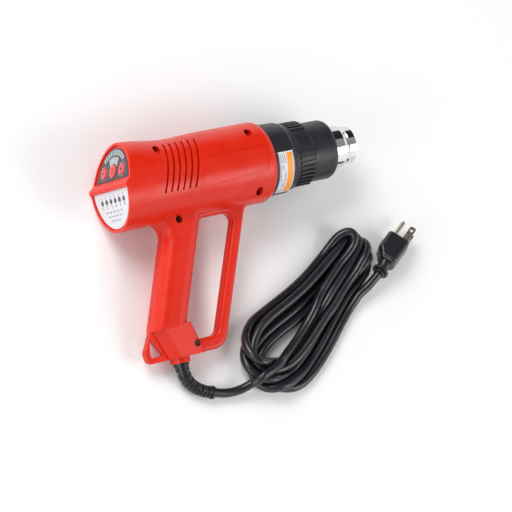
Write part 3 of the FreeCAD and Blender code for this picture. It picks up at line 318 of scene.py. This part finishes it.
def strip(u, v, inner, outer, start, end, low, high, matrix, steps=28):
    """A curved band as one closed solid over a face."""
    verts = []
    for step in range(steps + 1):
        angle = math.radians(start + (end - start) * step / steps)
        for radius, height in ((inner, low), (outer, low), (outer, high), (inner, high)):
            place = Vector((u + radius * math.cos(angle), v + radius * math.sin(angle), height))
            verts.append(matrix @ place)
    faces = [[3, 2, 1, 0], [4 * steps + n for n in range(4)]]
    for step in range(steps):
        first = 4 * step
        for n in range(4):
            after = (n + 1) % 4
            faces.append([first + n, first + after, first + 4 + after, first + 4 + n])
    return verts, faces


def joined(*solids):
    """Corners and faces of several solids as one."""
    verts = []
    faces = []
    for more_verts, more_faces in solids:
        start = len(verts)
        verts += more_verts
        faces += [[start + n for n in face] for face in more_faces]
    return verts, faces


PRINT_T = 0.00012
MARK_LENGTH = 0.0054
MARK_WIDTH = 0.0013
PLUS_ARM = 0.0021
PLUS_ARM_V = 0.0017
PLUS_CORNER = 0.1
POWER_RADII = (0.0022, 0.0031)
POWER_SWEEP = (125, 415)
POWER_BAR = (0.0009, 0.0030)
POWER_BAR_V = 0.0026


def button_marks():
    """Minus, plus and a ring-and-bar power mark on the buttons."""
    top = BUTTON_TOP
    minus = raised([bar(-BUTTON_PITCH, BUTTON_V, MARK_LENGTH, MARK_WIDTH)], top, top + PRINT_T, PANEL)
    mesh_piece("minus_mark", *minus, "print_ink", "dark_overlay", "minus_button")
    across = raised([bar(BUTTON_PITCH, BUTTON_V, MARK_LENGTH, MARK_WIDTH)], top, top + PRINT_T, PANEL)
    upright = raised([bar(BUTTON_PITCH, BUTTON_V + PLUS_ARM_V, MARK_WIDTH, PLUS_ARM, PLUS_CORNER),
                      bar(BUTTON_PITCH, BUTTON_V - PLUS_ARM_V, MARK_WIDTH, PLUS_ARM, PLUS_CORNER)],
                     top, top + PRINT_T, PANEL)
    mesh_piece("plus_mark", *joined(across, upright), "print_ink", "dark_overlay", "plus_button")
    ring = strip(0, BUTTON_V, *POWER_RADII, *POWER_SWEEP, top, top + PRINT_T, PANEL)
    stroke = raised([bar(0, BUTTON_V + POWER_BAR_V, *POWER_BAR)], top, top + PRINT_T, PANEL)
    mesh_piece("power_mark", *joined(ring, stroke), "print_ink", "dark_overlay", "power_button")


RIM_RADII = (0.0062, 0.0067)
RIM_SWEEP = (0, 358)
RIM_STEPS = 40
WINDOW_TOP = 0.00005
LEVEL_V = 0.0003
LEVEL_RADII = (0.0268, 0.0300)
LEVEL_MARKS = 9
LEVEL_START = 55
LEVEL_SWEEP = 70
LEVEL_HALF = 1.1
LEVEL_STEPS = 3


def overlay_print():
    """Rims round the buttons and level marks on the arch."""
    rims = [strip(side * BUTTON_PITCH, BUTTON_V, *RIM_RADII, *RIM_SWEEP, 0, PRINT_T, PANEL, RIM_STEPS)
            for side in (-1, 1)]
    mesh_piece("button_rims", *joined(*rims), "print_grey", "grey_window")
    marks = []
    for number in range(LEVEL_MARKS):
        angle = LEVEL_START + LEVEL_SWEEP * number / (LEVEL_MARKS - 1)
        marks.append(strip(0, LEVEL_V, *LEVEL_RADII, angle - LEVEL_HALF, angle + LEVEL_HALF,
                           WINDOW_TOP, WINDOW_TOP + PRINT_T, PANEL, LEVEL_STEPS))
    mesh_piece("level_marks", *joined(*marks), "print_ink", "dark_overlay")


def numeral(name, text, size, at, matrix):
    """A small flat numeral."""
    curve = bpy.data.curves.new(name, "FONT")
    curve.body = text
    curve.size = size
    curve.extrude = PRINT_T / 2
    curve.align_x = "CENTER"
    curve.align_y = "CENTER"
    piece = bpy.data.objects.new(name, curve)
    SCENE.collection.objects.link(piece)
    piece.matrix_world = matrix @ Matrix.Translation(at)
    bpy.context.view_layer.update()
    mesh = bpy.data.meshes.new_from_object(piece.evaluated_get(bpy.context.evaluated_depsgraph_get()))
    mesh.transform(piece.matrix_world)
    bpy.data.objects.remove(piece)
    flat = bpy.data.objects.new(name, mesh)
    mesh.materials.clear()
    mesh.materials.append(MATERIALS["print_ink"])
    SCENE.collection.objects.link(flat)
    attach(flat, "gun")


SCALE_FACE = -0.0003
TICK_ABOVE = 0.0042
TICK_SIZE = (0.0006, 0.0022)
NUMERAL_BELOW = 0.0048
NUMERAL_SIZE = 0.0042
LINE_HALF_WIDTHS = (0.0185, 0.0150, 0.0105)
LINE_COUNTS = (5, 4, 3)
FIRST_LINE_V = -0.0190
LINE_DROP = 0.0040
LINE_HEIGHT = 0.0013
LINE_FILL = 0.72


def scale_print():
    """Numerals, ticks and blank lines on the half-round scale label."""
    face = SCALE_FACE
    ticks = [bar(spot, LENS_V + TICK_ABOVE, *TICK_SIZE) for spot in LENS_SPOTS]
    mesh_piece("scale_ticks", *raised(ticks, face, face + PRINT_T, LOWER_FACE), "print_ink", "dark_overlay")
    for number, spot in enumerate(LENS_SPOTS, start=1):
        place = (spot, LENS_V - NUMERAL_BELOW, face + PRINT_T / 2)
        numeral(f"scale_numeral_{number}", str(number), NUMERAL_SIZE, place, LOWER_FACE)
    lines = []
    for row, (half_width, count) in enumerate(zip(LINE_HALF_WIDTHS, LINE_COUNTS)):
        height = FIRST_LINE_V - LINE_DROP * row
        pitch = 2 * half_width / count
        for number in range(count):
            middle = -half_width + pitch * (number + 0.5)
            lines.append(bar(middle, height, pitch * LINE_FILL, LINE_HEIGHT))
    mesh_piece("scale_lines", *raised(lines, face, face + PRINT_T, LOWER_FACE), "print_grey", "grey_window")


def round_bar(low, high, start, end, inner, outer, steps=10):
    """A bar wrapped round the barrel axis, between two stations and two angles."""
    verts = []
    for step in range(steps + 1):
        angle = math.radians(start + (end - start) * step / steps)
        for station, radius in ((low, inner), (high, inner), (high, outer), (low, outer)):
            verts.append(GUN @ Vector((station, radius * math.cos(angle), radius * math.sin(angle))))
    faces = [[3, 2, 1, 0], [4 * steps + n for n in range(4)]]
    for step in range(steps):
        first = 4 * step
        for n in range(4):
            after = (n + 1) % 4
            faces.append([first + n, first + after, first + 4 + after, first + 4 + n])
    return verts, faces


COLLAR_R = 0.0343
COLLAR_ROWS = 3
COLLAR_ROW_X = 0.1598
COLLAR_ROW_PITCH = 0.0022
COLLAR_ROW_WIDTH = 0.0009
COLLAR_START = 88
COLLAR_LINES = (14, 9, 17, 11, 8)
COLLAR_GAP = 2.5
COLLAR_SPAN = (85.5, 158.5)
COLLAR_EDGES = ((0.1584, 0.1587), (0.1739, 0.1742))
COLLAR_EDGE_STEPS = 30


def collar_print():
    """Rows of blank lines on the collar's plate, with a thin line along each of its edges."""
    inner = COLLAR_R
    outer = inner + PRINT_T
    bars = []
    for row in range(COLLAR_ROWS):
        station = COLLAR_ROW_X + COLLAR_ROW_PITCH * row
        start = COLLAR_START
        for number, width in enumerate(COLLAR_LINES):
            if (number + row) % 4 != 3:
                end = start + width
                bars.append(round_bar(station, station + COLLAR_ROW_WIDTH, start, end, inner, outer))
            start += width + COLLAR_GAP
    mesh_piece("collar_lines", *joined(*bars), "print_grey", "grey_window")
    edge = [round_bar(*stations, *COLLAR_SPAN, inner, outer, COLLAR_EDGE_STEPS)
            for stations in COLLAR_EDGES]
    mesh_piece("collar_edge_lines", *joined(*edge), "print_ink", "dark_overlay")


button_marks()
overlay_print()
scale_print()
collar_print()

# ---------------------------------------------------------------- mains lead

CORD_D = 0.0085
GLAND_STRAIGHT = 0.0127
GLAND_FACE = GUN @ Vector((0.0325, -0.1650, 0))
GLAND_RUN = GLAND_FACE + (GUN.to_3x3() @ Vector((0, -GLAND_STRAIGHT, 0)))
# The relief, lead and tail follow the CAD's own route, except that the lead's last two points are raised.
RELIEF_ROUTE = [tuple(GLAND_FACE), tuple(GLAND_RUN), (-0.0869, -0.1246, 0.0076),
                (-0.0759, -0.1318, 0.0067), (-0.0676, -0.1343, 0.0064)]
LEAD_ROUTE = [(-0.0676, -0.1343, 0.0064), (-0.0541, -0.1380, 0.0056), (-0.0399, -0.1382, 0.0074),
              (-0.0266, -0.1345, 0.0126)]
TAIL_ROUTE = [(0.1106, -0.0772, 0.0074), (0.1192, -0.0732, 0.0096), (0.1272, -0.0681, 0.0125),
              (0.1344, -0.0630, 0.0141)]

# The hank lies along a line from its corner. Each place is in millimetres along and across it.
HANK_CORNER = np.array([-0.012, -0.128])
HANK_ANGLE = math.radians(35.2)
TURNS = 5
# Even turns lie in the upper layer up to this place, and odd turns from it on.
RISING = 10
TOP_TURN = [
    (27, -6.0), (47, -7.4), (67, -6.0), (87, -2.2), (107, 1.0), (127, 1.4), (146, 1.0), (158, 1.6),
    (166.5, 4.4), (170, 10.0), (167, 15.6), (158.5, 18.8), (144, 19.0), (127, 20.0), (110, 20.8),
    (92, 22.4), (75, 25.4), (58, 29.2), (42, 32.8), (27, 33.8), (12.5, 31.0), (2, 24.2), (-3, 13.5),
    (-1.5, 2.5), (9, -5.5),
]
LOW_TURN = [
    (24, -28.3), (45, -28.8), (67, -26.8), (87, -23.6), (107, -21.2), (127, -20.2), (143, -20.8),
    (154, -20.4), (162.5, -17.4), (166, -11.8), (162.5, -6.2), (153.5, -3.8), (140, -4.0), (126, -3.2),
    (110, -1.2), (93, 1.6), (76, 5.8), (58, 10.6), (42, 15.2), (26, 18.4), (11, 18.0), (1, 12.6),
    (-5.0, 2.5), (-4.8, -11.0), (4.5, -24.0),
]
WAY_OUT = [(14, -32.6), (30, -35.4), (48, -36.4), (66, -35.2), (84, -33.2), (102, -31.4), (118, -29.8)]
# Where the lead comes onto the hank: places and heights.
WAY_IN = [((-3, 1.6), 0.044), ((12, -3.0), 0.050)]

# Middle turns reach up to this many millimetres further out at the far fold, and draw back elsewhere.
FOLD_REACH = 6.0
FOLD_FROM = 140
FOLD_RAMP = 20
FOLD_BACK = -0.2
# Heights in lead diameters.
RESTING = 0.5
UPPER_LAYER = 1.35
PILE_STEP = 0.9
# Turns start to pile up END_FROM ramps from the middle, and are fully piled one ramp further on.
HANK_MIDDLE = 80
END_RAMP = 30
END_FROM = 1.2

# Settling: points this far apart, and those at both ends that stay where they are.
HANK_STEP = 0.006
LEAD_HELD = 7
TAIL_HELD = 6
ROUNDS = 1000
SINK = 0.00016
PLAN_PULL = 0.05
OFFSET_EASES = 3
OFFSET_EASE = 0.5
HEIGHT_EASE = 0.6
PARTINGS = 5
PUSH_SHARES = [0.8, 0.8, 1.0]
# In lead diameters: how far apart strands' centres are kept, and how near along the line is one strand.
STRAND_GAP = 1.04
STRAND_RUN = 2.4
PAIRS_EVERY = 15
PAIRS_BEYOND = 0.006


def hank_point(place, height):
    """Row-frame point of a place along and across the hank, at a height."""
    along = np.array([math.cos(HANK_ANGLE), math.sin(HANK_ANGLE)])
    across = np.array([-along[1], along[0]])
    flat = HANK_CORNER + (place[0] * along + place[1] * across) / 1000
    return np.array([flat[0], flat[1], height])


def planned_hank():
    """The lead wound from the top turn down, before it settles: strands alternate in two layers
    along the hank's sides, and the turns lie over each other at its ends."""
    places = [hank_point(place, height) for place, height in WAY_IN]
    for turn in range(TURNS):
        share = turn / (TURNS - 1)
        piled = CORD_D * (RESTING + PILE_STEP * (TURNS - 1 - turn))
        for number, (top, low) in enumerate(zip(TOP_TURN, LOW_TURN)):
            place = np.array(top) * (1 - share) + np.array(low) * share
            folded = np.clip((place[0] - FOLD_FROM) / FOLD_RAMP, FOLD_BACK, 1)
            place[0] += FOLD_REACH * math.sin(math.pi * share) * folded
            upper = (turn % 2 == 0) == (number < RISING)
            layered = CORD_D * (UPPER_LAYER if upper else RESTING)
            at_end = np.clip(abs(place[0] - HANK_MIDDLE) / END_RAMP - END_FROM, 0, 1)
            places.append(hank_point(place, piled * at_end + layered * (1 - at_end)))
    places += [hank_point(place, CORD_D / 2) for place in WAY_OUT]
    return np.array([*LEAD_ROUTE, *places, *TAIL_ROUTE])


def eased_turns(points):
    """The same line with each corner cut off, a quarter of the way along both its sides."""
    near = points[:-1] * 0.75 + points[1:] * 0.25
    far = points[:-1] * 0.25 + points[1:] * 0.75
    middle = np.stack([near, far], 1).reshape(-1, 3)
    return np.vstack([points[:1], middle, points[-1:]])


def evenly(points, step):
    """The same line with points a step apart."""
    runs = np.linalg.norm(np.diff(points, axis=0), axis=1)
    reached = np.concatenate([[0], np.cumsum(runs)])
    stops = np.linspace(0, reached[-1], int(round(reached[-1] / step)) + 1)
    return np.stack([np.interp(stops, reached, points[:, axis]) for axis in range(3)], 1)


def close_pairs(points, reach, skip):
    """Pairs of points nearer than reach that aren't neighbours along the line."""
    apart = np.linalg.norm(points[:, None] - points[None], axis=2)
    return np.nonzero(np.triu(apart < reach, skip))


def ease(points, free, strength):
    """Moves each free point towards the middle of its neighbours."""
    middle = (points[:-2] + points[2:]) / 2
    eased = points.copy()
    eased[1:-1] += strength * (middle - points[1:-1])
    points[free] = eased[free]


def part_strands(points, free, first, second, gap):
    """Pushes strands that are closer than gap apart, and keeps them on the table."""
    between = points[first] - points[second]
    apart = np.linalg.norm(between, axis=1)
    hit = apart < gap
    if hit.any():
        push = between[hit] * PUSH_SHARES
        push *= ((gap - apart[hit]) * 0.5 / np.linalg.norm(push, axis=1))[:, None]
        total = np.zeros_like(points)
        times = np.zeros(len(points))
        for index, sign in ((first[hit], 1), (second[hit], -1)):
            np.add.at(total, index, sign * push)
            np.add.at(times, index, 1)
        total /= np.sqrt(np.maximum(times, 1))[:, None]
        points[free] += total[free]
    points[free, 2] = np.maximum(points[free, 2], CORD_D / 2)


def settled_hank():
    """The hank as it lies: it sinks, keeps near its plan, and its strands rest on each other.
    The plan has the lead and the tail at its ends, which are held and left off again."""
    line = evenly(eased_turns(eased_turns(planned_hank())), HANK_STEP)
    points = line.copy()
    free = np.ones(len(points), bool)
    free[:LEAD_HELD] = False
    free[-TAIL_HELD:] = False
    skip = math.ceil(STRAND_RUN * CORD_D / HANK_STEP)
    gap = CORD_D * STRAND_GAP
    for number in range(ROUNDS):
        if number % PAIRS_EVERY == 0:
            first, second = close_pairs(points, gap + PAIRS_BEYOND, skip)
        points[free, 2] -= SINK
        points[free, :2] += PLAN_PULL * (line[free, :2] - points[free, :2])
        offset = points - line
        for _ in range(OFFSET_EASES):
            ease(offset, free, OFFSET_EASE)
        points[free, :2] = (line + offset)[free, :2]
        lifted = points.copy()
        ease(lifted, free, HEIGHT_EASE)
        points[free, 2] = lifted[free, 2]
        for _ in range(PARTINGS):
            part_strands(points, free, first, second, gap)
    return points[LEAD_HELD:-TAIL_HELD]


def route_curve(name, points, thickness=0.0):
    """One smooth NURBS line with these control points."""
    curve = bpy.data.curves.new(name, "CURVE")
    curve.dimensions = "3D"
    spline = curve.splines.new("NURBS")
    spline.points.add(len(points) - 1)
    for point, place in zip(spline.points, points):
        point.co = (*place, 1)
    spline.order_u = 3
    spline.use_endpoint_u = True
    spline.resolution_u = 6
    curve.bevel_depth = thickness
    curve.bevel_resolution = 6
    curve.use_fill_caps = thickness > 0
    piece = bpy.data.objects.new(name, curve)
    SCENE.collection.objects.link(piece)
    return piece


def mains_lead():
    """The whole lead from the gland to the plug, in place of the CAD's lead, hank and tail."""
    hank = settled_hank()
    route = [*RELIEF_ROUTE[:-1], *LEAD_ROUTE, *[tuple(map(float, place)) for place in hank], *TAIL_ROUTE]
    lead = route_curve("mains_lead", route, CORD_D / 2)
    lead.data.materials.append(MATERIALS["cord_sheath"])
    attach(lead, "gun")
    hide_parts("cord_lead", "cord_hank", "cord_tail")
    return lead


def line_points(points, count):
    """Evenly spaced points along a route's smooth line."""
    line = route_curve("route_line", points)
    line.data.splines[0].resolution_u = 12
    bpy.context.view_layer.update()
    mesh = bpy.data.meshes.new_from_object(line.evaluated_get(bpy.context.evaluated_depsgraph_get()))
    found = np.array([vertex.co for vertex in mesh.vertices])
    bpy.data.objects.remove(line)
    bpy.data.meshes.remove(mesh)
    length = np.linalg.norm(np.diff(found, axis=0), axis=1).sum()
    return evenly(found, length / count)


# Reach along the sleeve and radius of the collars at its root and end.
ROOT_COLLAR = (0.0030, 0.0074)
END_COLLAR = (0.0026, 0.0062)
RELIEF_R = 0.0066
RELIEF_TAPER = 0.0011
SLOT_PITCH = 0.0034
SLOT_FROM = 0.55
SLOT_FACING = 0.42
SLOT_DEPTH = 0.0012
RELIEF_RINGS = 220
RELIEF_SIDES = 48


def relief_radius(share, length, angle):
    """Radius of the strain relief: root and end collars, and slots that alternate from side to side."""
    reach = share * length
    radius = RELIEF_R - RELIEF_TAPER * share
    if reach < ROOT_COLLAR[0]:
        return ROOT_COLLAR[1]
    if length - reach < END_COLLAR[0]:
        return END_COLLAR[1]
    slot = (reach - ROOT_COLLAR[0]) / SLOT_PITCH
    in_slot = (slot % 1.0) > SLOT_FROM
    facing = abs(math.sin(angle + (math.pi / 2 if int(slot) % 2 else 0)))
    return radius - (SLOT_DEPTH if in_slot and facing > SLOT_FACING else 0.0)


def strain_relief():
    """The flexible sleeve at the gland, with slots that alternate from side to side."""
    around = RELIEF_SIDES
    points = line_points(RELIEF_ROUTE, RELIEF_RINGS)
    length = np.linalg.norm(np.diff(points, axis=0), axis=1).sum()
    tangents = np.gradient(points, axis=0)
    tangents /= np.linalg.norm(tangents, axis=1)[:, None]
    verts = []
    for index, (point, tangent) in enumerate(zip(points, tangents)):
        side = np.cross(tangent, (0, 0, 1))
        side /= np.linalg.norm(side)
        up = np.cross(side, tangent)
        share = index / (len(points) - 1)
        for step in range(around):
            angle = 2 * math.pi * step / around
            radius = relief_radius(share, length, angle)
            verts.append(point + radius * (math.cos(angle) * side + math.sin(angle) * up))
    faces = []
    for index in range(len(points) - 1):
        for step in range(around):
            after = (step + 1) % around
            low = index * around
            faces.append([low + step, low + after, low + around + after, low + around + step])
    faces.append(list(range(around))[::-1])
    faces.append([(len(points) - 1) * around + step for step in range(around)])
    piece = mesh_piece("relief_sleeve", verts, faces, "cord_sheath", "cord_sheath")
    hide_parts("strain_relief")
    return piece


lead = mains_lead()
relief = strain_relief()

# ---------------------------------------------------------------- floor, light and camera


FLOOR_TONES = ((0.90, 0.90, 0.90), (0.93, 0.93, 0.93))
# Place, target, size and power of each light.
LIGHTS = {
    "key_light": ((-0.9, 1.3, 1.6), (0, 0, 0), (1.3, 0.9), 27),
    "fill_light": ((1.2, -1.1, 1.4), (0, 0, 0), (1.0, 1.0), 14),
    "low_light": ((-1.7, -0.4, 0.9), (-0.1, 0, 0), (0.9, 0.7), 6),
}
SKY_TINT = (0.98, 0.985, 1.0)
SKY_HEIGHTS = (0.30, 0.85)
SKY_LEVELS = (1.15, 0.30)
CARD_PLACE = (0.49, 0.70, 0.52)
CARD_EDGE = (0.40, 0.46)
CARD_LEVELS = (0.03, 1.0)
# The perspective fit's camera.
CAMERA_RIGHT = Vector((0.8517, -0.2867, 0.4387))
CAMERA_UP = Vector((0.1851, 0.9477, 0.2600))
CAMERA_PLACE = (-1.1604, -0.3563, 2.0717)
CAMERA_LENS = 180.97


def studio_floor():
    """A near-white floor, faintly mottled."""
    bpy.ops.mesh.primitive_plane_add(size=8, location=(0, 0, 0))
    floor = bpy.context.object
    floor.name = "studio_floor"
    nodes = Nodes("studio_floor")
    tone = nodes.mix(nodes.noise(scale=3, detail=2), *FLOOR_TONES)
    roughness = nodes.spread(nodes.noise(scale=8, detail=2), 0.3, 0.7, 0.6, 0.7)
    normal = nodes.bump(nodes.noise(scale=40, detail=2), 0.02, 0.001)
    floor.data.materials.append(nodes.finish(tone, roughness, normal))


def soft_light(name, place, target, size, power):
    """A rectangular lamp that faces its target."""
    light = bpy.data.lights.new(name, "AREA")
    light.shape = "RECTANGLE"
    light.size, light.size_y = size
    light.energy = power
    lamp = bpy.data.objects.new(name, light)
    lamp.location = place
    lamp.rotation_euler = (Vector(target) - Vector(place)).to_track_quat("-Z", "Y").to_euler()
    SCENE.collection.objects.link(lamp)


def studio():
    """Floor, lights and surroundings; Standard keeps the red and the white from being washed out."""
    studio_floor()
    for name, settings in LIGHTS.items():
        soft_light(name, *settings)
    SCENE.world = studio_world()
    SCENE.view_settings.view_transform = "Standard"


def ramp(tree, value, limits, levels):
    """A value carried from one pair of limits to another."""
    node = tree.nodes.new("ShaderNodeMapRange")
    node.inputs["From Min"].default_value, node.inputs["From Max"].default_value = limits
    node.inputs["To Min"].default_value, node.inputs["To Max"].default_value = levels
    tree.links.new(value, node.inputs["Value"])
    return node.outputs["Result"]


def studio_world():
    """Bright round the horizon and darker overhead, with a dark round card for reflections."""
    world = bpy.data.worlds.new("studio")
    world.use_nodes = True
    tree = world.node_tree
    background = tree.nodes["Background"]
    place = tree.nodes.new("ShaderNodeTexCoord")
    parts = tree.nodes.new("ShaderNodeSeparateXYZ")
    tree.links.new(place.outputs["Generated"], parts.inputs["Vector"])
    height = ramp(tree, parts.outputs["Z"], SKY_HEIGHTS, SKY_LEVELS)
    near = tree.nodes.new("ShaderNodeVectorMath")
    near.operation = "DISTANCE"
    near.inputs[1].default_value = CARD_PLACE
    tree.links.new(place.outputs["Generated"], near.inputs[0])
    card = ramp(tree, near.outputs["Value"], CARD_EDGE, CARD_LEVELS)
    level = tree.nodes.new("ShaderNodeMath")
    level.operation = "MULTIPLY"
    tree.links.new(height, level.inputs[0])
    tree.links.new(card, level.inputs[1])
    background.inputs["Color"].default_value = (*SKY_TINT, 1)
    tree.links.new(level.outputs["Value"], background.inputs["Strength"])
    return world


def photo_camera():
    """The photo's camera."""
    turn = Matrix((CAMERA_RIGHT, CAMERA_UP, CAMERA_RIGHT.cross(CAMERA_UP))).transposed().to_4x4()
    camera = bpy.data.cameras.new("photo_camera")
    camera.lens = CAMERA_LENS
    camera.sensor_width = 36
    camera.clip_end = 20
    view = bpy.data.objects.new("photo_camera", camera)
    view.matrix_world = Matrix.Translation(CAMERA_PLACE) @ turn
    SCENE.collection.objects.link(view)
    SCENE.camera = view


studio()
photo_camera()
